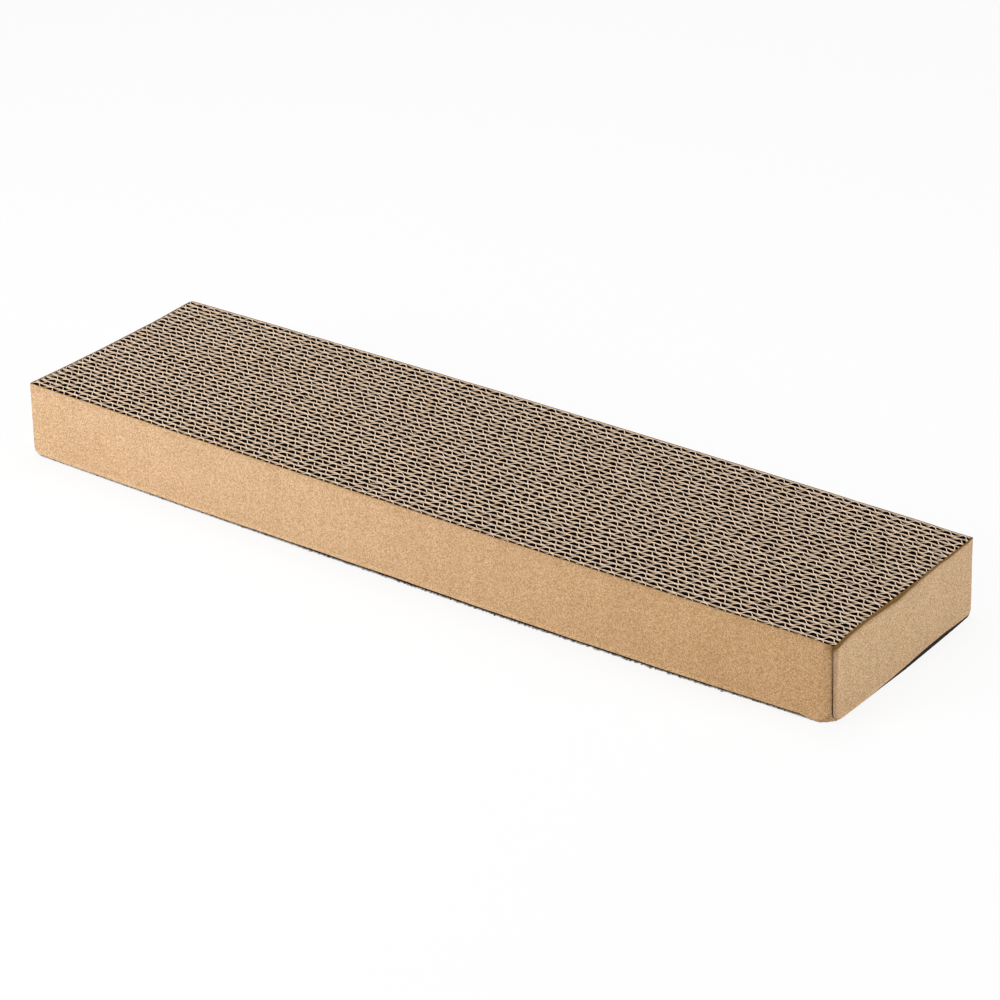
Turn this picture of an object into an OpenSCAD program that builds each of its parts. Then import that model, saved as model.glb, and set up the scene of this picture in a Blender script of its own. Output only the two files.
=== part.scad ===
// Cardboard scratcher for a cat: a slab of corrugated board strips that stand on edge, glued side by
// side, with their flutes upright and open, inside a folded wrap of kraft board. Millimetres, +Z up.
// The origin is in the middle of the footprint, on the surface that the slab lies on. The length runs
// along X, and the board strips are counted along Y from the front.

/* [Slab] */
// Length over the wrap
slab_l = 457; // [300:1:600]
// Height of the board strips
core_h = 38.3; // [20:0.1:80]

/* [Corrugated board] */
// Number of board strips across the width
board_count = 33; // [12:1:50]
// Thickness of one board, outside to outside of its two liners
board_t = 3.84; // [3:0.02:5]
// Thickness of each flat liner
liner_t = 0.3; // [0.2:0.02:0.45]
// Thickness of the fluted sheet between the liners
medium_t = 0.3; // [0.2:0.02:0.45]
// Distance from one flute to the next
flute_pitch = 8.09; // [7:0.01:10]
// Share of the way from a zigzag (0) to bends that meet without straight flanks (1)
flank_share = 0.72; // [0.2:0.01:0.95]
// Number that sets how the flutes of each strip are shifted against the next strip's
shift_seed = 7; // [1:1:99]

/* [Wrap] */
// Thickness of the kraft board that the wrap is folded from
wrap_t = 0.6; // [0.4:0.05:1.2]
// Height of the wrap
wrap_h = 38; // [15:0.1:80]
// How far the wrap's lower edge stays above the surface
wrap_lift = 1; // [0:0.1:4]
// Outside radius of the wrap's corners
corner_r = 2; // [1:0.25:3]
// Length of the glue flap that lies behind the right end panel
flap_l = 70; // [15:1:75]
// Angle round the near right corner at which the wrap's outer end begins
seam_angle = -45; // [-80:1:-10]

/* [Hidden] */
$fn = 48;

// The core fills the wrap. The flap and the end panel make the wrap double at the right end.
core_w = board_count * board_t;
slab_w = core_w + 2 * wrap_t;
left_x = -slab_l / 2;
right_x = slab_l / 2;
front_y = -slab_w / 2;
back_y = slab_w / 2;
flap_x = right_x - wrap_t;
core_left_x = left_x + wrap_t;
core_right_x = flap_x - wrap_t;
core_l = core_right_x - core_left_x;
core_corner_r = corner_r;

// The fluted sheet is a wave of round bends joined by straight flanks. The flanks slope more than the
// line from tip to tip, by up to as much again, and each is the inner tangent of the bends at its ends.
flute_space = board_t - 2 * liner_t;
cell_depth = flute_space - medium_t;
bend_run = flute_pitch / 2;
flank_angle = atan2(cell_depth, bend_run) * (1 + flank_share);
wave_r = (bend_run * sin(flank_angle) - cell_depth * cos(flank_angle)) / (1 - cos(flank_angle)) / 2;
bend_r = wave_r - medium_t / 2;
tip_y = cell_depth - bend_r;

// Each flank keeps a hair inside its bend's radius, so that the two join cleanly.
hair = 0.002;
flank_r = bend_r - hair;
flank_top = tip_y + flank_r * cos(flank_angle);
mouth_half = (flank_r + tip_y * cos(flank_angle)) / sin(flank_angle);

// Share of a pitch by which each strip's flutes are shifted, as the boards came off the stack
shift_shares = rands(0, 1, board_count, shift_seed);

function two_digits(n) = str(n < 10 ? "0" : "", n);
function strip_name(i) = str("strip_", two_digits(i + 1));

// Rectangle between two corners, with the same radius at all four of its own corners
module rounded_area(low, high, r) {
  translate([low[0] + r, low[1]])
    square([high[0] - low[0] - 2 * r, high[1] - low[1]]);
  translate([low[0], low[1] + r])
    square([high[0] - low[0], high[1] - low[1] - 2 * r]);
  for (x = [low[0] + r, high[0] - r])
    for (y = [low[1] + r, high[1] - r])
      translate([x, y]) circle(r = r);
}

// Open cell between the fluted sheet and one liner: its mouth lies along the liner at y = 0, and its
// round tip is the inside of a bend
module cell() {
  intersection() {
    translate([0, tip_y]) circle(r = bend_r);
    translate([-bend_run, flank_top / 2]) square([flute_pitch, cell_depth]);
  }
  polygon([
    [-mouth_half, 0],
    [mouth_half, 0],
    [flank_r * sin(flank_angle), flank_top],
    [-flank_r * sin(flank_angle), flank_top]
  ]);
}

// Row of cells whose mouths lie on one liner. A cell that would only nick the strip's end is left out.
module cell_row(shift) {
  first = ceil((medium_t - mouth_half - shift) / flute_pitch);
  last = floor((core_l - medium_t + mouth_half - shift) / flute_pitch);
  for (k = [first:1:last])
    translate([k * flute_pitch + shift, 0]) cell();
}

// Outline of the core seen from above, with its corners pressed round, so that they clear the wrap's folds
module core_outline() {
  rounded_area(
    [core_left_x, front_y + wrap_t],
    [core_right_x, back_y - wrap_t],
    core_corner_r
  );
}

// Plain outline of one strip, before its cells are cut
module strip_outline(i) {
  if (i == 0 || i == board_count - 1)
    intersection() {
      core_outline();
      strip_block(i);
    }
  else
    strip_block(i);
}

module strip_block(i) {
  translate([core_left_x, front_y + wrap_t + i * board_t]) square([core_l, board_t]);
}

// One strip of single wall board, a flat liner each side of the fluted sheet, cut to the slab's height
module strip(i) {
  shift = shift_shares[i] * flute_pitch;
  color([0.77, 0.66, 0.55])
    linear_extrude(height = core_h)
      difference() {
        strip_outline(i);
        translate([core_left_x, front_y + wrap_t + i * board_t + liner_t]) cell_row(shift);
        translate([core_left_x, front_y + wrap_t + (i + 1) * board_t - liner_t])
          mirror([0, 1]) cell_row(shift - flute_pitch / 2);
      }
}

// Area inside a corner that lies past the seam, out to the wrap's outer layer
module seam_sector() {
  r = corner_r + wrap_t;
  intersection() {
    circle(r = r);
    polygon([
      [0, 0],
      [r / cos(seam_angle), r / cos(seam_angle) * tan(seam_angle)],
      [r / cos(seam_angle), 0]
    ]);
  }
}

// Area under the outer layer, from the seam at the near right corner round to the back panel
module outer_layer_area() {
  near_y = front_y + corner_r;
  near_x = flap_x - corner_r;
  translate([near_x, near_y]) seam_sector();
  translate([near_x, near_y]) square([right_x - near_x, back_y - corner_r - near_y]);
  translate([near_x, near_y]) square([right_x - corner_r - near_x, back_y - near_y]);
  translate([right_x - corner_r, back_y - corner_r]) circle(r = corner_r);
}

// Area inside the wrap: the core's space, and past the flap the thin space behind the end panel
module inside_area() {
  inner_r = corner_r - wrap_t;
  rounded_area([core_left_x, front_y + wrap_t], [core_right_x, back_y - wrap_t], inner_r);
  past_y = front_y + corner_r + flap_l;
  translate([flap_x - corner_r, past_y]) square([corner_r, back_y - corner_r - past_y]);
  translate([flap_x - corner_r, past_y]) square([wrap_t, back_y - wrap_t - past_y]);
  translate([right_x - corner_r, back_y - corner_r]) circle(r = inner_r);
}

// The wrap is one length of kraft board. It starts at the near right corner, runs over the right end,
// the back, the left end and the front, turns the near right corner under its own beginning, and ends
// as a flap that is glued behind the right end panel.
module wrap() {
  color([0.82, 0.67, 0.49])
    translate([0, 0, wrap_lift])
      linear_extrude(height = wrap_h)
        difference() {
          union() {
            rounded_area([left_x, front_y], [flap_x, back_y], corner_r);
            outer_layer_area();
          }
          inside_area();
        }
}

for (i = [0:1:board_count - 1])
  strip(i);
wrap();
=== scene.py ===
"""Finish of a cardboard scratcher for a cat: fluted board strips on edge inside a folded kraft wrap."""

import bisect
import math
import random

import bmesh
import bpy
from bpy.props import FloatProperty, FloatVectorProperty, IntProperty, PointerProperty
from mathutils import Euler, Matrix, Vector, noise


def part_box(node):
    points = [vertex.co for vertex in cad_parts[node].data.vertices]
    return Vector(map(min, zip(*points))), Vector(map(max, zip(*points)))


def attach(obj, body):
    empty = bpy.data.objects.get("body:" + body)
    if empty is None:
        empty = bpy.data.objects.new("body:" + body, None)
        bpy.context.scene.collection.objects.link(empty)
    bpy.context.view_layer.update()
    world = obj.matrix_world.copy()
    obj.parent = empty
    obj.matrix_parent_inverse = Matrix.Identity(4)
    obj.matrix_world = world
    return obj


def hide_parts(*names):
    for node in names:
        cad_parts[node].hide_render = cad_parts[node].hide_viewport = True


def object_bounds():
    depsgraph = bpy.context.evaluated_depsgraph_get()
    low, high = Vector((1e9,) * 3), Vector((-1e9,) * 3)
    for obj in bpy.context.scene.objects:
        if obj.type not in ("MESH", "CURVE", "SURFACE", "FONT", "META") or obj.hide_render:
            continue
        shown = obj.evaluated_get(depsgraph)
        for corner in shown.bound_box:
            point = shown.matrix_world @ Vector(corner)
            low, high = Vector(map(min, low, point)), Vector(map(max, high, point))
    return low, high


bl_info = {
    "name": "Cardboard Scratcher",
    "version": (1, 0, 0),
    "blender": (4, 5, 0),
    "location": "3D View > Sidebar > Scratcher",
    "description": "Builds the fluted strips, the kraft wrap and the stage of a cardboard scratcher",
    "category": "Object",
}

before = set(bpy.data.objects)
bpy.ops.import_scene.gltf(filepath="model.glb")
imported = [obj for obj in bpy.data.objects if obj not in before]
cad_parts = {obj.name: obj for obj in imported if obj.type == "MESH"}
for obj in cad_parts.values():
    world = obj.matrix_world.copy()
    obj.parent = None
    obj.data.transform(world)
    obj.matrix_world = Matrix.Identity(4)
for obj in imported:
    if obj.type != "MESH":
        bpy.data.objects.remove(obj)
cad_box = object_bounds()

MM = 0.001
BODY = "root"
STRIP_NODES = sorted(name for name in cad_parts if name.startswith("strip_"))
WRAP_NODE = "wrap"

# A strip from the middle gives the core's ends and heights, the two outermost ones give its sides
CORE_LOW, CORE_HIGH = (Vector(corner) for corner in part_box(STRIP_NODES[len(STRIP_NODES) // 2]))
CORE_FRONT_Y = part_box(STRIP_NODES[0])[0].y
CORE_BACK_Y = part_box(STRIP_NODES[-1])[1].y
WRAP_LOW, WRAP_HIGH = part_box(WRAP_NODE)


class BoardSettings(bpy.types.PropertyGroup):
    """Sizes and colours of the corrugated board strips."""

    paper_t: FloatProperty(
        name="Paper thickness",
        description="Thickness of the liners and of the fluted sheet between them",
        default=0.34 * MM,
        min=0.1 * MM,
        unit="LENGTH",
    )
    flute_pitch: FloatProperty(
        name="Flute pitch",
        description="Distance from one flute to the next",
        default=8.09 * MM,
        min=4 * MM,
        unit="LENGTH",
    )
    flank_steepness: FloatProperty(
        name="Flank steepness",
        description="How much steeper the flutes' flanks are than those of a plain wave",
        default=0.39,
        min=0,
        max=0.8,
        subtype="FACTOR",
    )
    tip_wander: FloatProperty(
        name="Tip wander",
        description="How far the tip of a flute strays along the strip",
        default=0.45 * MM,
        min=0,
        unit="LENGTH",
    )
    liner_wave: FloatProperty(
        name="Liner wave",
        description="How far the glued liners stray from a straight line",
        default=0.38 * MM,
        min=0,
        unit="LENGTH",
    )
    cut_wear: FloatProperty(
        name="Cut wear",
        description="How far the saw has pushed the cut edges about",
        default=0.3 * MM,
        min=0,
        unit="LENGTH",
    )
    fray: FloatProperty(
        name="Fray",
        description="How far torn fibres stand out along the core's lower front edge",
        default=1.2 * MM,
        min=0,
        unit="LENGTH",
    )
    # The next two set the flutes' painted light and painted shade in the paper's colour
    shade_depth: FloatProperty(
        name="Shade depth",
        description="Depth over which the inside of a flute turns black, below the light's reach",
        default=0.22 * MM,
        min=0.1 * MM,
        unit="LENGTH",
    )
    light_slope: FloatProperty(
        name="Light slope",
        description="How steeply the light that slants into the flutes from the left falls",
        default=0.22,
        min=0,
    )
    seed: IntProperty(
        name="Seed",
        description="Number that sets how the flutes of the strips are shifted and worn",
        default=7,
        min=1,
    )
    face_colour: FloatVectorProperty(
        name="Paper face",
        description="Colour of the paper inside the flutes, near the cut edge",
        default=(0.78, 0.57, 0.38),
        min=0,
        max=1,
        subtype="COLOR",
    )
    edge_colour: FloatVectorProperty(
        name="Cut edge",
        description="Colour of the cut edges of the paper",
        default=(1.0, 0.765, 0.57),
        min=0,
        max=1,
        subtype="COLOR",
    )
    torn_colour: FloatVectorProperty(
        name="Torn fibres",
        description="Colour of the torn fibres along the core's lower edge",
        default=(0.5, 0.48, 0.45),
        min=0,
        max=1,
        subtype="COLOR",
    )
    # Painted shade: the near-black that stands for the dark deep inside the flutes and on the core's
    # outside under the wrap
    core_shade_colour: FloatVectorProperty(
        name="Deep inside",
        description="Colour deep inside a flute",
        default=(0.008, 0.003, 0.001),
        min=0,
        max=1,
        subtype="COLOR",
    )


class WrapSettings(bpy.types.PropertyGroup):
    """Sizes and colours of the kraft wrap."""

    sheet_t: FloatProperty(
        name="Sheet thickness",
        description="Thickness of the kraft board",
        default=0.6 * MM,
        min=0.2 * MM,
        unit="LENGTH",
    )
    corner_r: FloatProperty(
        name="Corner radius",
        description="Outside radius of the folded corners",
        default=2 * MM,
        min=1 * MM,
        unit="LENGTH",
    )
    blunting: FloatProperty(
        name="Blunting",
        description="How much larger the corners' radius is at the lower edge",
        default=6 * MM,
        min=0,
        unit="LENGTH",
    )
    blunt_height: FloatProperty(
        name="Blunted height",
        description="Height above the lower edge up to which the corners are blunted",
        default=4.5 * MM,
        min=1 * MM,
        unit="LENGTH",
    )
    blunt_share: FloatProperty(
        name="Blunting elsewhere",
        description="Share of that blunting which the corners other than the near right one have",
        default=0.5,
        min=0,
        max=1,
        subtype="FACTOR",
    )
    pinch: FloatProperty(
        name="Pinch",
        description="How far the wrap presses each long side in at its two ends, so that the side bows",
        default=2.54 * MM,
        min=0,
        unit="LENGTH",
    )
    slide: FloatProperty(
        name="Slide",
        description="How far the middle strips have slid towards the seam's end, and the wrap with them",
        default=1.67 * MM,
        min=0,
        unit="LENGTH",
    )
    stand_out: FloatProperty(
        name="Right end",
        description="How much further the right end's two corners stand out than the left end's",
        default=0.7 * MM,
        min=0,
        unit="LENGTH",
    )
    lean: FloatProperty(
        name="Lean",
        description="How far the right end leans in at its rim, past the near corner",
        default=1.1 * MM,
        min=0,
        unit="LENGTH",
    )
    flare: FloatProperty(
        name="Flare",
        description="How far the front's lower edge stands out right of its middle",
        default=0.8 * MM,
        min=0,
        unit="LENGTH",
    )
    seam_lag: FloatProperty(
        name="Seam lag",
        description="How much further round the corner the outer end begins at the bottom, as a share",
        default=0.75,
        min=0,
        max=0.95,
        subtype="FACTOR",
    )
    flap_l: FloatProperty(
        name="Flap length",
        description="Length of the glue flap behind the right end panel",
        default=70 * MM,
        min=10 * MM,
        unit="LENGTH",
    )
    seam_angle: FloatProperty(
        name="Seam angle",
        description="Angle round the near right corner at which the outer end begins",
        default=math.radians(-45),
        subtype="ANGLE",
    )
    washboard: FloatProperty(
        name="Washboard",
        description="Height of the faint ripples that the flutes press through the wrap",
        default=0.06 * MM,
        min=0,
        unit="LENGTH",
    )
    bulge: FloatProperty(
        name="Bulge",
        description="How far the long sides stand off the core between glued places",
        default=0.15 * MM,
        min=0,
        unit="LENGTH",
    )
    colour: FloatVectorProperty(
        name="Kraft",
        description="Colour of the kraft board's pale fibres",
        default=(0.82, 0.57, 0.36),
        min=0,
        max=1,
        subtype="COLOR",
    )
    dark_colour: FloatVectorProperty(
        name="Dark kraft",
        description="Colour of the kraft board's dark fibres",
        default=(0.49, 0.285, 0.13),
        min=0,
        max=1,
        subtype="COLOR",
    )
    edge_colour: FloatVectorProperty(
        name="Kraft edge",
        description="Colour of the wrap's cut edges",
        default=(0.12, 0.075, 0.04),
        min=0,
        max=1,
        subtype="COLOR",
    )
    rim_colour: FloatVectorProperty(
        name="Front rim",
        description="Colour of the front panel's upper cut edge, which is clean",
        default=(0.38, 0.21, 0.085),
        min=0,
        max=1,
        subtype="COLOR",
    )
    # Painted shade: the near-black of the seam's edge, also used for the painted shadow along the right
    # end's foot
    kraft_shade_colour: FloatVectorProperty(
        name="Seam",
        description="Colour of the outer end's edge at the seam, in its own shade",
        default=(0.02, 0.012, 0.007),
        min=0,
        max=1,
        subtype="COLOR",
    )
    # Colour of the darker olive-brown band along the top of the right end panel and of its edges there
    end_band_colour: FloatVectorProperty(
        name="Glue stain",
        description="Colour of the glue-soaked strip along the top of the right end panel",
        default=(0.19, 0.095, 0.02),
        min=0,
        max=1,
        subtype="COLOR",
    )


class StageSettings(bpy.types.PropertyGroup):
    """Camera, lamps and floor."""

    camera_place: FloatVectorProperty(
        name="Camera place",
        description="Where the camera stands",
        default=(0.8793, -1.20562, 0.77299),
        subtype="XYZ",
        unit="LENGTH",
    )
    camera_turn: FloatVectorProperty(
        name="Camera turn",
        description="How the camera is turned, as Euler angles",
        default=(math.radians(63.109), math.radians(0.195), math.radians(35.69)),
        subtype="EULER",
    )
    lens: FloatProperty(
        name="Lens",
        description="Focal length of the camera in millimetres",
        default=128.42,
        min=10,
    )
    left_power: FloatProperty(
        name="Left lamp",
        description="Power of the large, low lamp at the front left",
        default=9.15,
        min=0,
        unit="POWER",
    )
    top_power: FloatProperty(
        name="Top lamp",
        description="Power of the large lamp above",
        default=10.5,
        min=0,
        unit="POWER",
    )
    right_power: FloatProperty(
        name="Right lamp",
        description="Power of the lamp at the right end",
        default=9.4,
        min=0,
        unit="POWER",
    )
    sky_strength: FloatProperty(
        name="Sky strength",
        description="Strength of the even light from all round",
        default=0.25,
        min=0,
    )
    floor_colour: FloatVectorProperty(
        name="Floor",
        description="Colour of the floor",
        default=(0.8, 0.8, 0.8),
        min=0,
        max=1,
        subtype="COLOR",
    )
    floor_white: FloatProperty(
        name="Floor white",
        description="Share of plain white in what the camera sees of the floor",
        default=0.85,
        min=0,
        max=1,
        subtype="FACTOR",
    )


class Socket:
    """An output socket in a finish. Arithmetic on it adds Math nodes."""

    def __init__(self, finish, link):
        self.finish = finish
        self.link = link

    def math(self, operation, *values, clamp=False):
        settings = {"operation": operation, "use_clamp": clamp}
        return self.finish.node("Math", settings, dict(enumerate(values)))

    def __add__(self, other):
        return self.math("ADD", self, other)

    def __radd__(self, other):
        return self.math("ADD", other, self)

    def __sub__(self, other):
        return self.math("SUBTRACT", self, other)

    def __rsub__(self, other):
        return self.math("SUBTRACT", other, self)

    def __mul__(self, other):
        return self.math("MULTIPLY", self, other)

    def __rmul__(self, other):
        return self.math("MULTIPLY", other, self)

    def least(self, other):
        return self.math("MINIMUM", self, other)

    def most(self, other):
        return self.math("MAXIMUM", self, other)

    def clamped(self):
        return self.math("ADD", self, 0, clamp=True)


class NodeTree:
    """The nodes of a material or a world, and the ways to add to them."""

    def __init__(self, owner):
        owner.use_nodes = True
        self.tree = owner.node_tree

    def node(self, kind, settings=None, values=None, out=0):
        """Adds a shader node: its settings come first, then the values or links of its sockets."""
        made = self.tree.nodes.new("ShaderNode" + kind)
        for name, setting in (settings or {}).items():
            setattr(made, name, setting)
        for key, value in (values or {}).items():
            self.plug(made.inputs[key], value)
        return Socket(self, made.outputs[out])

    def plug(self, socket, value):
        if isinstance(value, Socket):
            self.tree.links.new(value.link, socket)
        else:
            socket.default_value = value

    def mix(self, factor, low, high):
        """Goes from one colour to another as the factor goes from 0 to 1."""
        values = {0: factor, 6: self.colour(low), 7: self.colour(high)}
        return self.node("Mix", {"data_type": "RGBA"}, values, out=2)

    def grey(self, amount):
        """A grey of that lightness. Its red varies less and its blue more, so a dark one is brownish."""
        red_share, blue_share = 0.85, 1.2
        red = amount * red_share + (1 - red_share)
        blue = amount * blue_share - (blue_share - 1)
        return self.node("CombineColor", None, {0: red, 1: amount, 2: blue})

    def tint(self, colour, other):
        """One colour times another, which is how a grey makes it lighter or darker."""
        values = {0: 1, 6: self.colour(colour), 7: self.colour(other)}
        return self.node("Mix", {"data_type": "RGBA", "blend_type": "MULTIPLY"}, values, out=2)

    @staticmethod
    def colour(value):
        return value if isinstance(value, Socket) else (*value, 1)

    def object_place(self):
        return self.node("TexCoord", out="Object")

    def uv_map(self, name):
        return self.node("UVMap", {"uv_map": name})

    def split(self, place, axis):
        """One number of a place, by its axis."""
        return self.node("SeparateXYZ", None, {0: place}, out=axis)

    def stretched(self, place, scales):
        return self.node("VectorMath", {"operation": "MULTIPLY"}, {0: place, 1: scales})

    def noise(self, place, size, detail=2, roughness=0.5):
        """Soft noise from 0 to 1, with blots of about that size."""
        values = {"Vector": place, "Scale": 1 / size, "Detail": detail, "Roughness": roughness}
        return self.node("TexNoise", None, values)

    def ramp(self, value, low, high):
        """0 below the low value, 1 above the high one, and smooth between them."""
        values = {0: value, 1: low, 2: high, 3: 0, 4: 1}
        return self.node("MapRange", {"interpolation_type": "SMOOTHSTEP", "clamp": True}, values)


class Finish(NodeTree):
    """A material with its shader."""

    def __init__(self, name):
        self.material = bpy.data.materials.new(name)
        super().__init__(self.material)
        self.shader = self.tree.nodes["Principled BSDF"]
        self.output = self.tree.nodes["Material Output"]

    def surface(self, colour, roughness):
        """Sets the colour and the roughness, with the dull look of paper."""
        paper_specular = 0.2
        self.plug(self.shader.inputs["Base Color"], colour)
        self.plug(self.shader.inputs["Roughness"], roughness)
        self.plug(self.shader.inputs["Specular IOR Level"], paper_specular)
        return self.material


def shade_in_core(finish, place, board, begin):
    """Painted shade: black below that depth from the cut faces, and on the core's outside, where the wrap
    hides it.
    """
    wander_size, wander = 3 * MM, 0.2 * MM
    cover_begin, cover_end = 0.4 * MM, 1.5 * MM
    rim_begin, rim_end = 0.6 * MM, 1.4 * MM
    torn_size, torn_begin, torn_end = 0.9 * MM, 0.6 * MM, 1 * MM

    up = finish.split(place, 2)
    uneven = finish.noise(place, wander_size, detail=3) - 0.5
    depth = (CORE_HIGH.z - up).least(up - CORE_LOW.z) + uneven * wander
    inward = finish.split(finish.uv_map("shade_map"), 0)
    # Painted shade on the core's outside under the wrap, below its top millimetre or so
    under_wrap_shade = finish.ramp(inward, cover_end, cover_begin)
    under_wrap_shade = under_wrap_shade * finish.ramp(up, CORE_HIGH.z - rim_begin, CORE_HIGH.z - rim_end)
    torn = finish.ramp(finish.noise(place, torn_size), 0.34, 0.52)
    torn = torn * under_wrap_shade * finish.ramp(up, CORE_LOW.z + torn_end, CORE_LOW.z + torn_begin)
    dark = finish.mix(torn, board.core_shade_colour, board.torn_colour)
    return finish.ramp(depth, begin, begin + board.shade_depth).most(under_wrap_shade), dark


def paper_faces(board):
    """The faces of the paper inside the flutes, with painted light as deep as light reaches and painted
    shade below.
    """
    fibre_size, upright = 0.5 * MM, (1, 1, 0.35)
    finish = Finish("paper_faces")
    place = finish.object_place()
    fibre = finish.noise(finish.stretched(place, upright), fibre_size, detail=3)
    face = finish.tint(board.face_colour, finish.grey(0.8 + fibre * 0.4))
    reach = finish.split(finish.uv_map("shade_map"), 1)
    shade, dark = shade_in_core(finish, place, board, reach)
    return finish.surface(finish.mix(shade, face, dark), 0.9)


def cut_edges(board):
    """The cut edges of the paper, pale with torn fibres, with painted shade where the wrap covers a
    strip's end.
    """
    fibre_size, patch_size, wear_share = 0.7 * MM, 12 * MM, 1.5
    finish = Finish("cut_edges")
    place = finish.object_place()
    fibre = finish.noise(place, fibre_size, detail=4, roughness=0.7)
    patch = finish.noise(place, patch_size)
    edge = finish.tint(board.edge_colour, finish.grey(0.5 + fibre * 0.7 + patch * 0.3))
    shade, dark = shade_in_core(finish, place, board, board.cut_wear * wear_share)
    return finish.surface(finish.mix(shade, edge, dark), 0.95)


def corner_radius(wrap, z, at_seam):
    """Outside radius of a corner of the wrap at a height, which grows near the lower edge."""
    scale = 1 if at_seam else wrap.blunt_share
    share = min(max((z - WRAP_LOW.z) / (wrap.blunt_height * scale), 0), 1)
    return wrap.corner_r + wrap.blunting * scale * (1 - share) ** 2


def settle(wrap, place):
    """Moves a point of the plain slab to where the pinched, slid and leaning one has it."""
    foot_held_share, rim_held_share, flare_h = 0.42, 0.58, 8 * MM
    half = (WRAP_HIGH - WRAP_LOW) / 2
    along = place.x / half.x
    across = place.y / half.y
    right_end = smooth_share(along, 0.85, 1)
    rim = smooth_share(place.z, 0, WRAP_HIGH.z)

    bow = wrap.slide * (1 - across * across)
    held = right_end * (foot_held_share + rim_held_share * rim)
    place.x += bow * (1 - held) - wrap.slide * (1 + along) / 2
    place.x += right_end * (wrap.stand_out - wrap.lean * rim * smooth_share(across, -1, -0.7))

    front = smooth_share(across, -0.8, -1)
    flared = smooth_share(along, -0.1, 0.3) * smooth_share(along, 0.9, 0.6) * front
    foot = smooth_share(place.z, flare_h, 0)
    place.y -= wrap.pinch * along * along * across + wrap.flare * flared * foot
    return place


def smooth_share(value, low, high):
    """0 at the low value, 1 at the high one, and smooth between them."""
    share = min(max((value - low) / (high - low), 0), 1)
    return share * share * (3 - 2 * share)


def press(place, radius):
    """Moves a point of the core in from a square corner to the round one that the wrap leaves it."""
    out_x = max(radius - min(place.x - CORE_LOW.x, CORE_HIGH.x - place.x), 0)
    out_y = max(radius - min(place.y - CORE_FRONT_Y, CORE_BACK_Y - place.y), 0)
    if out_x * out_y > 0:
        kept = max(out_x, out_y) / math.hypot(out_x, out_y)
        place.x -= math.copysign(out_x * (1 - kept), place.x)
        place.y -= math.copysign(out_y * (1 - kept), place.y)
    return place


def liner_stray(board, x, joint):
    """How far the glue line between two strips strays, which both of their liners follow."""
    if joint in (0, len(STRIP_NODES)):
        return 0
    slow_length, quick_length, slow_share = 30 * MM, 4 * MM, 0.6
    slow = noise.noise(Vector((x / slow_length, joint * 7.3, 0)))
    quick = noise.noise(Vector((x / quick_length, joint * 3.1, 5)))
    return (slow * slow_share + quick) * board.liner_wave


def flute_tips(board, low, high, chance):
    """Where the fluted sheet touches the two liners in turn. It runs past both ends of the strip."""
    crushed_share, least_crush_share, most_crush_share = 0.06, 0.15, 0.5
    seat = 1.5 * board.paper_t
    middle = (low.y + high.y) / 2
    x = low.x - (1 + chance.random()) * board.flute_pitch
    tips = []
    while x < high.x + board.flute_pitch:
        y = high.y - seat if len(tips) % 2 else low.y + seat
        if chance.random() < crushed_share:
            y += (middle - y) * chance.uniform(least_crush_share, most_crush_share)
        tips.append(Vector((x + chance.uniform(-1, 1) * board.tip_wander, y)))
        x += board.flute_pitch / 2
    return tips


def flute_path(board, low, high, index):
    """The fluted sheet seen from above, as points from one end of its strip to the other."""
    chance = random.Random(board.seed * 100 + index)
    steps_per_flank, uneven = 7, 0.15
    tips = flute_tips(board, low, high, chance)
    path = []
    for begin, end in zip(tips, tips[1:]):
        steepness = board.flank_steepness + chance.uniform(-uneven, uneven)
        for step in range(steps_per_flank):
            share = step / steps_per_flank
            along = share + steepness * math.sin(2 * math.pi * share) / (2 * math.pi)
            across = (1 - math.cos(math.pi * share)) / 2
            path.append(begin + (end - begin) * Vector((along, across)))
    return cut_to_length(path, low.x, high.x, board.paper_t / 2)


def cut_to_length(path, low_x, high_x, least_gap):
    """Cuts a path that runs along X off at two places, and drops points too near to a cut."""
    ends = []
    for x in (low_x, high_x):
        after = next(k for k, point in enumerate(path) if point.x > x)
        a, b = path[after - 1], path[after]
        ends.append(a.lerp(b, (x - a.x) / (b.x - a.x)))
    kept = [point for point in path if low_x + least_gap < point.x < high_x - least_gap]
    return [ends[0], *kept, ends[1]]


def straight_path(low_x, high_x, y, spacing):
    """Points along X at about a given spacing."""
    count = round((high_x - low_x) / spacing)
    return [Vector((low_x + (high_x - low_x) * k / count, y)) for k in range(count + 1)]


# Where the painted light that slants into the flutes comes from, seen from above
LIGHT_FROM = Vector((-0.8, -0.6))


def light_reach(board, flute, point):
    """How deep light that slants in from the left gets down the back liner before the flute stops it."""
    farthest, step = 5 * MM, 0.2 * MM
    gone = 0
    while gone < farthest:
        gone += step
        over = point + LIGHT_FROM * gone
        after = bisect.bisect(flute, over.x, key=lambda bend: bend.x)
        if after == 0:
            break
        a, b = flute[after - 1], flute[after]
        if over.y - board.paper_t < a.y + (b.y - a.y) * (over.x - a.x) / (b.x - a.x):
            break
    return gone * board.light_slope


def flat_grid(bm, columns, rows):
    """Adds a flat grid, and gives each of its vertices with its column and its row."""
    made = bmesh.ops.create_grid(bm, x_segments=columns, y_segments=rows, size=0.5)
    return [
        (vert, round((vert.co.x + 0.5) * columns), round((vert.co.y + 0.5) * rows))
        for vert in made["verts"]
    ]


def stand_sheet(bm, path, reaches, heights, shape):
    """Adds a flat grid and bends it: each column stands on its point of the path."""
    shade_map = bm.loops.layers.uv.verify()
    last_row = len(heights) - 1
    for vert, column, row in flat_grid(bm, len(path) - 1, last_row):
        point = path[column]
        inward_x = min(point.x - CORE_LOW.x, CORE_HIGH.x - point.x)
        inward_y = min(point.y - CORE_FRONT_Y, CORE_BACK_Y - point.y)
        # The map holds each column's distance in from the core's outside and how deep painted light
        # reaches down it; both set painted shade
        for loop in vert.link_loops:
            loop[shade_map].uv = (min(inward_x, inward_y), reaches[column])
        vert.co = shape(Vector((point.x, point.y, heights[row])), row in (0, last_row))


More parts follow.
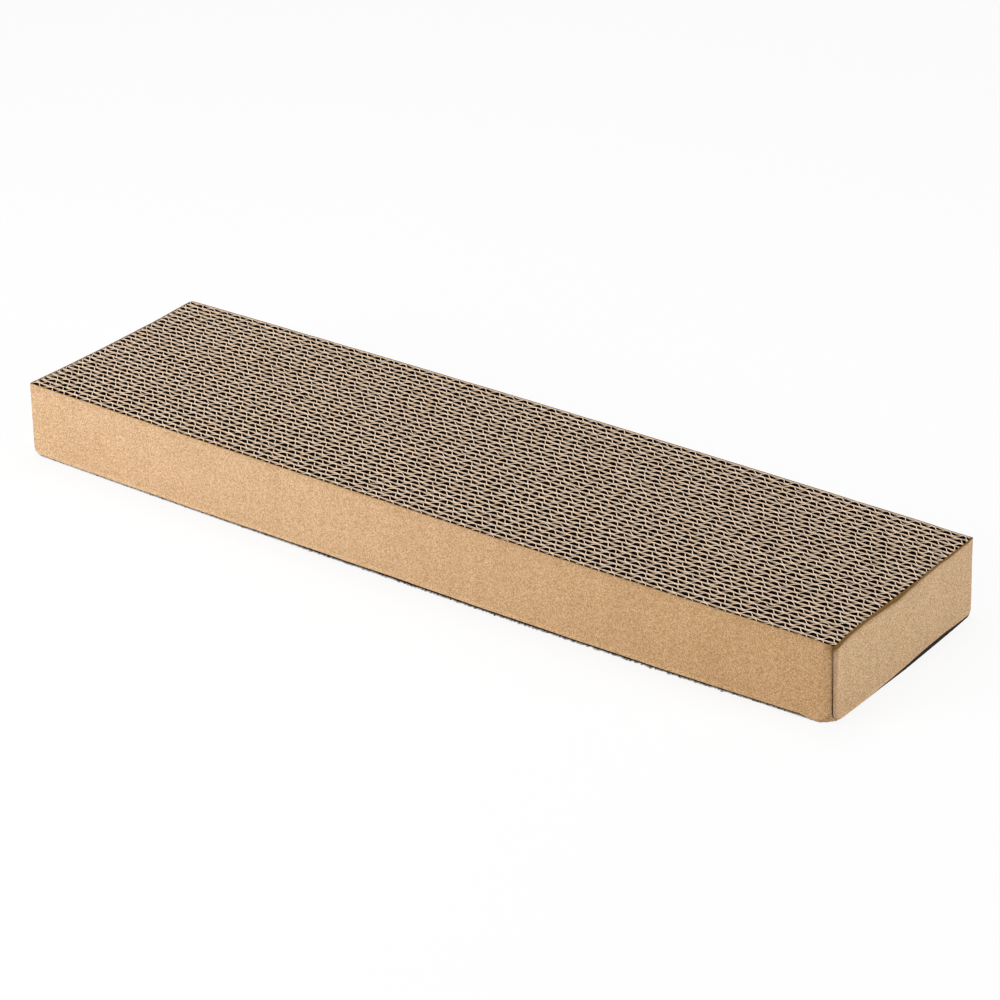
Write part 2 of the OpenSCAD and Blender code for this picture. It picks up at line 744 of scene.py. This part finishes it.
def worn(board, place, index):
    """Pushes a vertex at a cut edge about, as the saw did, and frays the core's lower front edge."""
    wear_size, torn_lift = 2.2 * MM, 0.2 * MM
    plain_end, torn_end = 8 * MM, 60 * MM
    at = Vector((place.x / wear_size, place.y / wear_size, index + place.z * 40))
    is_low = place.z < (CORE_LOW.z + CORE_HIGH.z) / 2
    lost = abs(noise.noise(at + Vector((0, 0, 57)))) * board.cut_wear
    place.y += noise.noise(at) * board.cut_wear
    place.x += noise.noise(at + Vector((0, 0, 31))) * board.cut_wear
    if is_low and index == 0:
        place.z += torn_lift
        from_left = smooth_share(place.x, CORE_LOW.x, 0)
        from_right = smooth_share(place.x, CORE_HIGH.x - plain_end, CORE_HIGH.x - torn_end)
        middle = from_left * from_right
        place.y -= (0.3 + noise.noise(at * 2)) * board.fray * (0.25 + 0.75 * middle)
    place.z += lost if is_low else -lost
    return place


def strip_heights(wrap, low, high):
    """Heights of a strip's rows of vertices, with more where the wrap's corners are blunted."""
    low_shares, high_shares = [0, 0.03], [0.97, 1]
    from_side = min(low.y - CORE_FRONT_Y, CORE_BACK_Y - high.y)
    if from_side < wrap.corner_r + wrap.blunting:
        low_shares += [0.07, 0.12, 0.18]
    return [low.z + share * (high.z - low.z) for share in low_shares + high_shares]


def build_strip(board, wrap, node, index):
    """One strip: two liners and the fluted sheet between them, cut to the slab's height."""
    low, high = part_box(node)
    heights = strip_heights(wrap, low, high)

    def shape(place, is_rim):
        share = (place.y - low.y) / (high.y - low.y)
        near = liner_stray(board, place.x, index)
        far = liner_stray(board, place.x, index + 1)
        place.y += near + (far - near) * share
        press(place, corner_radius(wrap, place.z, place.x > 0 > place.y) - wrap.sheet_t)
        settle(wrap, place)
        return worn(board, place, index) if is_rim else place

    front_spacing = (1.4 if index else 0.7) * MM
    back_spacing = 0.9 * MM
    front = straight_path(low.x, high.x, low.y + board.paper_t / 2, front_spacing)
    back = straight_path(low.x, high.x, high.y - board.paper_t / 2, back_spacing)
    flute = flute_path(board, low, high, index)
    bm = bmesh.new()
    bm.loops.layers.uv.new("shade_map")
    for path in (front, flute):
        stand_sheet(bm, path, [0] * len(path), heights, shape)
    # The back liner is painted lit down to where the flute would shadow it, and black below: painted
    # light and shadow
    stand_sheet(bm, back, [light_reach(board, flute, point) for point in back], heights, shape)
    return bm


def add_piece(bm, name, thickness, finishes, node):
    """Makes a piece of thin sheets: gives them their thickness and seats the piece in the frame."""
    sharp_angle = math.radians(40)
    mesh = bpy.data.meshes.new(name)
    bm.to_mesh(mesh)
    bm.free()
    for finish in finishes:
        mesh.materials.append(finish)
    piece = bpy.data.objects.new(name, mesh)
    bpy.context.scene.collection.objects.link(piece)
    wall = piece.modifiers.new("Thickness", "SOLIDIFY")
    wall.thickness = thickness
    wall.offset = 0
    wall.use_even_offset = True
    wall.material_offset_rim = 1
    shown = piece.evaluated_get(bpy.context.evaluated_depsgraph_get())
    piece.data = bpy.data.meshes.new_from_object(shown)
    piece.data.name = name
    piece.modifiers.clear()
    bpy.data.meshes.remove(mesh)
    piece.data.shade_smooth()
    piece.data.set_sharp_from_angle(angle=sharp_angle)
    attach(piece, BODY)
    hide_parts(node)
    return piece


class SCRATCHER_OT_board_strips(bpy.types.Operator):
    """Builds the fluted board strips of the core"""

    bl_idname = "scratcher.board_strips"
    bl_label = "Board Strips"

    def execute(self, context):
        board = context.scene.scratcher_board
        wrap = context.scene.scratcher_wrap
        finishes = [paper_faces(board), cut_edges(board)]
        for index, node in enumerate(STRIP_NODES):
            bm = build_strip(board, wrap, node, index)
            name = node.replace("strip", "board_strip")
            add_piece(bm, name, board.paper_t, finishes, node)
        return {"FINISHED"}


class Route:
    """The wrap's centre line seen from above, as straight legs and left turns."""

    def __init__(self, start, heading):
        self.legs = []
        self.end = start
        self.heading = heading

    def straight(self, length):
        self.add(length, 0)

    def turn(self, radius, angle):
        self.add(radius * angle, 1 / radius)

    def add(self, length, bend):
        self.legs.append((self.end, self.heading, length, bend))
        self.end, self.heading = self.at(len(self.legs) - 1, 1)

    def at(self, leg, share):
        """The place and the heading at a share of a leg."""
        start, heading, length, bend = self.legs[leg]
        gone = length * share
        if bend == 0:
            return start + Vector((math.cos(heading), math.sin(heading))) * gone, heading
        turned = heading + gone * bend
        step = Vector((math.sin(turned) - math.sin(heading), math.cos(heading) - math.cos(turned)))
        return start + step / bend, turned

    def begin(self, leg):
        """Distance from the sheet's outer end to where a leg begins."""
        return sum(length for start, heading, length, bend in self.legs[:leg])


# Legs of the wrap's route, counted from the seam. Each panel is followed by the turn at its end.
SEAM_TURN, END_PANEL, FAR_TURN, BACK_PANEL = 0, 1, 2, 3
FRONT_PANEL, FLAP_TURN, FLAP = 7, 8, 9


def wrap_route(wrap, radius, other_radius):
    """From the seam at the near right corner over the right end, round the slab and on to the flap."""
    outer_r = radius + wrap.sheet_t / 2
    inner_r = radius - wrap.sheet_t / 2
    other_r = other_radius - wrap.sheet_t / 2
    flap_x = WRAP_HIGH.x - wrap.sheet_t
    centre = Vector((flap_x - radius, WRAP_LOW.y + radius))
    seam = Vector((math.cos(wrap.seam_angle), math.sin(wrap.seam_angle)))
    route = Route(centre + seam * outer_r, wrap.seam_angle + math.pi / 2)
    size = WRAP_HIGH - WRAP_LOW
    route.turn(outer_r, -wrap.seam_angle)
    route.straight(size.y - radius - other_radius)
    route.turn(other_r, math.pi / 2)
    route.straight(size.x - 2 * other_radius)
    route.turn(other_r, math.pi / 2)
    route.straight(size.y - 2 * other_radius)
    route.turn(other_r, math.pi / 2)
    route.straight(size.x - wrap.sheet_t - radius - other_radius)
    route.turn(inner_r, math.pi / 2)
    route.straight(wrap.flap_l)
    return route


# Heights in millimetres of the wrap's lower and upper edge, each at a leg of the route plus a share of it
EDGES = (
    (0, 2.6, 38.8),
    (0.6, 1.4, 38.9),
    (1.04, 0.7, 39),
    (1.3, 0.5, 39),
    (1.61, 0.3, 38.6),
    (1.65, 0.3, 39.1),
    (1.97, 0.3, 38.7),
    (3.1, 1.2, 38.3),
    (3.9, 1.4, 38.3),
    (5.8, 1.2, 38.3),
    (6.4, 1.2, 38),
    (7.02, 1.3, 38.7),
    (7.1, 1.4, 39.1),
    (7.5, 2, 39.4),
    (7.985, 1.7, 39.4),
    (7.998, 0.7, 39),
    (8.5, 0.6, 38.3),
    (9.1, 0.7, 38.1),
    (10, 0.7, 38),
)


def edge_heights(station, along):
    """Heights of the wrap's lower and upper edge, with a little waviness along the sheet."""
    wave_length, low_wave, high_wave = 25 * MM, 0.2, 0.25
    after = next((k for k, edge in enumerate(EDGES) if edge[0] > station), len(EDGES) - 1)
    a, b = EDGES[after - 1], EDGES[after]
    share = smooth_share(station, a[0], b[0])
    low, high = ((a[k] + (b[k] - a[k]) * share) * MM for k in (1, 2))
    low += noise.noise(Vector((along / wave_length, 0, 9))) * low_wave * MM
    high += min(noise.noise(Vector((along / wave_length, 0, 4))) * high_wave * MM, 0)
    return low, high


# Heights of the wrap's rows of vertices, as shares, closer together near its two edges
ROW_SHARES = (0, 0.03, 0.07, 0.12, 0.18, 0.3, 0.45, 0.6, 0.75, 0.88, 0.93, 0.965, 0.985, 1)


def stand_off(wrap, route, station, along, place, below_top):
    """How far the wrap stands off the core: faint ripples, a soft bulge and a crease past the seam."""
    bulge_size, ripple_length, ripple_h = 40 * MM, 3 * MM, 60 * MM
    crease_place, crease_half, crease_off = 3 * MM, 0.8 * MM, 0.15 * MM
    if station >= FLAP_TURN:
        return 0
    wave = noise.noise(Vector((place.x / bulge_size, place.y / bulge_size, 1)))
    ripple = noise.noise(Vector((along / ripple_length, below_top / ripple_h, 3)))
    off = wrap.washboard * (0.5 + ripple) + wrap.bulge * (0.5 + wave) / 2
    if station < END_PANEL + 1:
        from_crease = along - route.begin(END_PANEL) - crease_place
        off += crease_off * math.exp(-((from_crease / crease_half) ** 2))
    return off


def wrap_stations(route):
    """Where the wrap's columns of vertices stand, each at a leg of its route plus a share of it."""
    turn_steps, spacing, hair = 8, 1.4 * MM, 1e-9
    stations = []
    for leg, (start, heading, length, bend) in enumerate(route.legs):
        count = turn_steps if bend else round(length / spacing)
        stations += [leg + k / count for k in range(count)]
    return [*stations, len(route.legs) - hair]


def build_wrap(wrap):
    """The wrap as one bent sheet, with its faint ripples, its loose seam and its uneven edges."""
    plain = wrap_route(wrap, wrap.corner_r, wrap.corner_r)
    size_z = WRAP_HIGH.z - WRAP_LOW.z
    routes = []
    for share in ROW_SHARES:
        radii = [corner_radius(wrap, WRAP_LOW.z + share * size_z, at_seam) for at_seam in (True, False)]
        routes.append(wrap_route(wrap, *radii))
    stations = wrap_stations(plain)
    bm = bmesh.new()
    sheet_map = bm.loops.layers.uv.new("sheet")
    for vert, column, row in flat_grid(bm, len(stations) - 1, len(ROW_SHARES) - 1):
        station = stations[column]
        up_share = ROW_SHARES[row]
        leg = int(station)
        if leg == SEAM_TURN:
            station += (1 - station) * wrap.seam_lag * (1 - up_share)
        along = plain.begin(leg) + plain.legs[leg][2] * (station - leg)
        for loop in vert.link_loops:
            loop[sheet_map].uv = (along, up_share * size_z)
        low, high = edge_heights(station, along)
        z = low + up_share * (high - low)
        place, heading = routes[row].at(leg, station - leg)
        outward = Vector((math.sin(heading), -math.cos(heading)))
        place += outward * stand_off(wrap, plain, station, along, place, high - z)
        vert.co = settle(wrap, Vector((place.x, place.y, z)))
    return bm


class SheetFinish(Finish):
    """A finish of the wrap, which follows its flat sheet. Its ramps take millimetres."""

    def __init__(self, name, wrap):
        super().__init__(name)
        self.route = wrap_route(wrap, wrap.corner_r, wrap.corner_r)
        self.sheet = self.uv_map("sheet")
        self.along = self.split(self.sheet, 0)
        self.height = self.split(self.sheet, 1)
        self.top = WRAP_HIGH.z - WRAP_LOW.z

    def past(self, leg, low, high):
        """0 at the first distance past a leg's beginning, and 1 at the second."""
        begin = self.route.begin(leg)
        return self.ramp(self.along, begin + low * MM, begin + high * MM)

    def below_top(self, height, low, high):
        """0 at the first distance below the sheet's upper edge, and 1 at the second."""
        return self.ramp(height, self.top - low * MM, self.top - high * MM)

    def on_end_panel(self, low_share, high_share):
        """0 at the first share of the right end panel's length, and 1 at the second."""
        begin = self.route.begin(END_PANEL)
        length = self.route.legs[END_PANEL][2]
        return self.ramp(self.along, begin + low_share * length, begin + high_share * length)


def kraft_fibre(finish):
    """The board's fine slanted speckle of pale and dark fibres, as a value round 0."""
    speck_size, fibre_size, speck_share = 0.36 * MM, 0.45 * MM, 0.45
    slant = {0: (finish.along + finish.height) * 0.8, 1: (finish.along - finish.height) * 0.4}
    slanted = finish.node("CombineXYZ", None, slant)
    values = {"Vector": slanted, "Scale": 1 / speck_size}
    speck = finish.node("TexVoronoi", None, values, out="Color")
    return speck * speck_share + finish.noise(slanted, fibre_size) - (speck_share / 2 + 0.5)


def kraft_lightness(finish, mottle):
    """How light the board is: faint bands, dark flecks, a darker upper edge, painted light from the floor
    on the lower one.
    """
    band_size, upright, fleck_size, top_darkening_wander = 5 * MM, (1, 0.06, 1), 0.9 * MM, 8 * MM
    pale_begin, pale_end = 1.6 * MM, 2.4 * MM
    bands = finish.noise(finish.stretched(finish.sheet, upright), band_size, detail=1) - 0.5
    fleck = finish.ramp(finish.noise(finish.sheet, fleck_size, roughness=0.7), 0.66, 0.8)
    # Darker towards the upper edge
    top_darkening = finish.below_top(finish.height + mottle * top_darkening_wander, 5, 0)
    # Painted light from the floor along the lower edge
    pale = finish.ramp(finish.height, pale_end, pale_begin)
    return 1 + mottle * 0.14 + bands * 0.14 - fleck * 0.3 - top_darkening * 0.07 + pale * 0.12


def painted_fold_shading(finish, mottle):
    """How much painted shade darkens the board at the fold and the seam, less the painted crease
    highlight.
    """
    toward_top_wander = 4 * MM
    # The fold's painted shade is darker towards the top
    toward_top = finish.below_top(finish.height + mottle * toward_top_wander, 8, 2)
    # Painted shade round the fold at the near right corner
    fold = finish.past(FLAP_TURN, -4, 1) - finish.past(FLAP_TURN, 3, 4)
    # Painted shade on the end panel next to the seam
    seam_shade = finish.past(END_PANEL, 2.6, 0.6)
    # Painted highlight along the crease past the seam, fading out towards the bottom
    crease = finish.past(END_PANEL, 1.8, 3) - finish.past(END_PANEL, 3, 4.6)
    crease = crease * finish.ramp(finish.height, finish.top * 0.25, finish.top * 0.5)
    return fold * (0.1 + toward_top * 0.28) + seam_shade * 0.25 - crease * 0.14


def end_top_band(finish, mottle):
    """A darker olive-brown band along the top of the right end panel, with a thin line on to the far
    corner.
    """
    band_wander = 3 * MM
    olive_band = finish.height + mottle * band_wander
    band_dark = finish.below_top(olive_band, 2.2, 1.1) * 0.6 + finish.below_top(olive_band, 4.4, 0.8) * 0.4
    band_dark = band_dark * finish.on_end_panel(0.66, 0.55)
    thin = finish.below_top(olive_band, 1.4, 0.5) * finish.past(FAR_TURN, 0, -5)
    return band_dark.most(thin * 0.9)


def painted_foot_shadow(finish):
    """Painted shadow: the dark line along the foot of the right end panel, highest past the panel's
    middle.
    """
    most_h, lost_h, soft_h = 2.4 * MM, 1.2 * MM, 0.3 * MM
    below = finish.on_end_panel(0.1, 0.7) * most_h - finish.height
    below = below - finish.on_end_panel(0.75, 1) * lost_h
    return finish.ramp(below, 0, soft_h) * finish.past(BACK_PANEL, 4, 1)


def kraft_faces(wrap):
    """The kraft board: fibres, bands, painted light and shade, an olive-brown band and a painted foot
    shadow.
    """
    mottle_size, relief_h, relief_strength, fibre_contrast = 25 * MM, 0.05 * MM, 0.06, 3.6
    front_end_shade_tint, unshaded_length = (0.915, 0.86, 0.75), 100 * MM
    finish = SheetFinish("kraft_faces", wrap)
    fibre = kraft_fibre(finish)
    mottle = finish.noise(finish.sheet, mottle_size, detail=3) - 0.5
    kraft = finish.mix((0.5 + fibre * fibre_contrast).clamped(), wrap.dark_colour, wrap.colour)

    # Painted shade: the front panel darker and warmer towards its right end, where less light falls
    corner = finish.route.begin(FLAP_TURN)
    tint_begin = finish.route.begin(FRONT_PANEL) + unshaded_length
    front_end_shade = finish.ramp(finish.along, tint_begin, corner) * finish.past(FLAP_TURN, 3, 0)
    kraft = finish.mix(front_end_shade, kraft, finish.tint(kraft, front_end_shade_tint))
    amount = kraft_lightness(finish, mottle) - painted_fold_shading(finish, mottle)
    kraft = finish.tint(kraft, finish.grey(amount))
    # The darker olive-brown band along the top of the right end panel
    kraft = finish.mix(end_top_band(finish, mottle), kraft, wrap.end_band_colour)
    # Painted shadow: near-black along the foot of the right end panel
    finish.surface(finish.mix(painted_foot_shadow(finish), kraft, wrap.kraft_shade_colour), 0.85)

    values = {"Strength": relief_strength, "Distance": relief_h, "Height": fibre}
    finish.plug(finish.shader.inputs["Normal"], finish.node("Bump", None, values))
    return finish.material


def kraft_edges(wrap):
    """The board's cut edges: clean at the front, olive-brown at the right end, painted shade at the seam.
    """
    fibre_size = 0.8 * MM
    finish = SheetFinish("kraft_edges", wrap)
    fibre = finish.noise(finish.object_place(), fibre_size, detail=3)
    # Olive-brown along the right end's edges and on the flap
    olive_band = finish.past(FAR_TURN, 2, -4).most(finish.past(FLAP, 0, 1))
    edge = finish.mix(finish.past(FRONT_PANEL, -1, 1), wrap.edge_colour, wrap.rim_colour)
    edge = finish.mix(olive_band, edge, wrap.end_band_colour)
    edge = finish.tint(edge, finish.grey(0.75 + fibre * 0.5))
    # Painted shade on the outer end's cut edge at the seam, below its top
    seam = finish.past(SEAM_TURN, 1.7, 1.6) * finish.below_top(finish.height, 0.2, 0.4)
    return finish.surface(finish.mix(seam, edge, wrap.kraft_shade_colour), 0.95)


class SCRATCHER_OT_kraft_wrap(bpy.types.Operator):
    """Builds the kraft wrap round the core"""

    bl_idname = "scratcher.kraft_wrap"
    bl_label = "Kraft Wrap"

    def execute(self, context):
        wrap = context.scene.scratcher_wrap
        finishes = [kraft_faces(wrap), kraft_edges(wrap)]
        add_piece(build_wrap(wrap), "kraft_wrap", wrap.sheet_t, finishes, WRAP_NODE)
        return {"FINISHED"}


def past_slab(finish, wrap):
    """How far past the slab's bowed outline a place on the floor is, which is below 0 under the slab."""
    # The two corners of the right end stand in from the box by about that much
    right_inset = 1 * MM
    place = finish.object_place()
    x, y = finish.split(place, 0), finish.split(place, 1)
    along, across = x * (1 / WRAP_HIGH.x), y * (1 / WRAP_HIGH.y)
    past_side = y.most(0 - y) - WRAP_HIGH.y + along * along * wrap.pinch
    past_left = wrap.slide - across * across * wrap.slide - x - WRAP_HIGH.x
    past_end = past_left.most(x - WRAP_HIGH.x + right_inset)
    past_corner = past_side + past_end + wrap.blunting
    return past_side.most(past_end).most(past_corner)


def floor_finish(stage, wrap):
    """White to the eye round the slab, apart from a share of its real shading, which keeps the shadow."""
    dark_edge, white_edge = -1 * MM, -0.7 * MM
    finish = Finish("floor")
    finish.surface((*stage.floor_colour, 1), 0.9)
    sees = finish.node("LightPath", out="Is Camera Ray")
    for ray in ("Is Glossy Ray", "Is Transmission Ray"):
        sees = sees + finish.node("LightPath", out=ray)
    share = sees.clamped() * finish.ramp(past_slab(finish, wrap), dark_edge, white_edge)

    unlit = 1 - stage.floor_colour[0] * (1 - stage.floor_white)
    glow = {"Color": (1, 1, 1, 1), "Strength": unlit / stage.floor_white}
    white = finish.node("Emission", None, glow)
    real = Socket(finish, finish.shader.outputs[0])
    blend = finish.node("MixShader", None, {0: share * stage.floor_white, 1: real, 2: white})
    finish.plug(finish.output.inputs["Surface"], blend)
    return finish.material


def add_floor(stage, wrap):
    """Adds a wide floor, a hair below the slab."""
    half_size, gap = 6, 0.05 * MM
    bm = bmesh.new()
    bmesh.ops.create_grid(bm, x_segments=8, y_segments=8, size=half_size)
    bmesh.ops.translate(bm, verts=bm.verts, vec=(0, 0, cad_box[0].z - gap))
    mesh = bpy.data.meshes.new("floor")
    bm.to_mesh(mesh)
    bm.free()
    mesh.materials.append(floor_finish(stage, wrap))
    floor = bpy.data.objects.new("floor", mesh)
    bpy.context.scene.collection.objects.link(floor)


def add_lamp(name, power, size, place, target, colour=(1, 1, 1)):
    """Adds a square lamp that faces its target."""
    lamp = bpy.data.lights.new(name, "AREA")
    lamp.size = size
    lamp.energy = power
    lamp.color = colour
    holder = bpy.data.objects.new(name, lamp)
    holder.location = place
    holder.rotation_euler = (Vector(target) - Vector(place)).to_track_quat("-Z", "Y").to_euler()
    bpy.context.scene.collection.objects.link(holder)


def add_sky(stage):
    """Adds even light from all round, which the camera sees as plain white."""
    world = bpy.data.worlds.new("sky")
    nodes = NodeTree(world)
    sky = nodes.tree.nodes["Background"]
    sees = nodes.node("LightPath", out="Is Camera Ray")
    strength = nodes.node("MapRange", None, {"Value": sees, "To Min": stage.sky_strength, "To Max": 1})
    nodes.plug(sky.inputs["Color"], (1, 1, 1, 1))
    nodes.plug(sky.inputs["Strength"], strength)
    bpy.context.scene.world = world


def add_camera(stage):
    """Adds the camera at the photo's viewing angle."""
    lens = bpy.data.cameras.new("camera")
    lens.lens = stage.lens
    lens.clip_start, lens.clip_end = 0.01, 50
    camera = bpy.data.objects.new("camera", lens)
    camera.location = stage.camera_place
    camera.rotation_euler = Euler(stage.camera_turn)
    bpy.context.scene.collection.objects.link(camera)
    bpy.context.scene.camera = camera


class SCRATCHER_OT_stage(bpy.types.Operator):
    """Sets up the floor, the lamps, the sky and the camera"""

    bl_idname = "scratcher.stage"
    bl_label = "Stage"

    def execute(self, context):
        stage = context.scene.scratcher_stage
        add_floor(stage, context.scene.scratcher_wrap)
        right_colour = (0.95, 1, 1.03)
        # Each lamp's power is followed by its size, its place and its target, in metres
        add_lamp("left_lamp", stage.left_power, 0.65, (-0.52, -0.98, 0.45), (-0.1, 0, 0.02))
        add_lamp("top_lamp", stage.top_power, 0.9, (-0.3, 0.3, 1.5), (-0.05, 0, 0.02))
        add_lamp("right_lamp", stage.right_power, 0.6, (1.5, 0.3, 0.5), (0.2, 0, 0.02), right_colour)
        add_sky(stage)
        add_camera(stage)
        context.scene.view_settings.view_transform = "Standard"
        return {"FINISHED"}


class SCRATCHER_PT_panel(bpy.types.Panel):
    """Lists the pieces of the scratcher."""

    bl_idname = "SCRATCHER_PT_panel"
    bl_label = "Cardboard Scratcher"
    bl_space_type = "VIEW_3D"
    bl_region_type = "UI"
    bl_category = "Scratcher"

    def draw(self, context):
        layout = self.layout
        for operator, settings in PIECES:
            box = layout.box()
            box.operator(operator.bl_idname)
            group = getattr(context.scene, settings)
            for name in group.bl_rna.properties.keys():
                if name not in ("rna_type", "name"):
                    box.prop(group, name)


PIECES = (
    (SCRATCHER_OT_board_strips, "scratcher_board"),
    (SCRATCHER_OT_kraft_wrap, "scratcher_wrap"),
    (SCRATCHER_OT_stage, "scratcher_stage"),
)
CLASSES = (
    BoardSettings,
    WrapSettings,
    StageSettings,
    SCRATCHER_OT_board_strips,
    SCRATCHER_OT_kraft_wrap,
    SCRATCHER_OT_stage,
    SCRATCHER_PT_panel,
)


def register():
    for cls in CLASSES:
        bpy.utils.register_class(cls)
    bpy.types.Scene.scratcher_board = PointerProperty(type=BoardSettings)
    bpy.types.Scene.scratcher_wrap = PointerProperty(type=WrapSettings)
    bpy.types.Scene.scratcher_stage = PointerProperty(type=StageSettings)


def unregister():
    del bpy.types.Scene.scratcher_stage
    del bpy.types.Scene.scratcher_wrap
    del bpy.types.Scene.scratcher_board
    for cls in reversed(CLASSES):
        bpy.utils.unregister_class(cls)


def main():
    register()
    bpy.ops.scratcher.stage()
    bpy.ops.scratcher.board_strips()
    bpy.ops.scratcher.kraft_wrap()


if __name__ == "__main__":
    main()
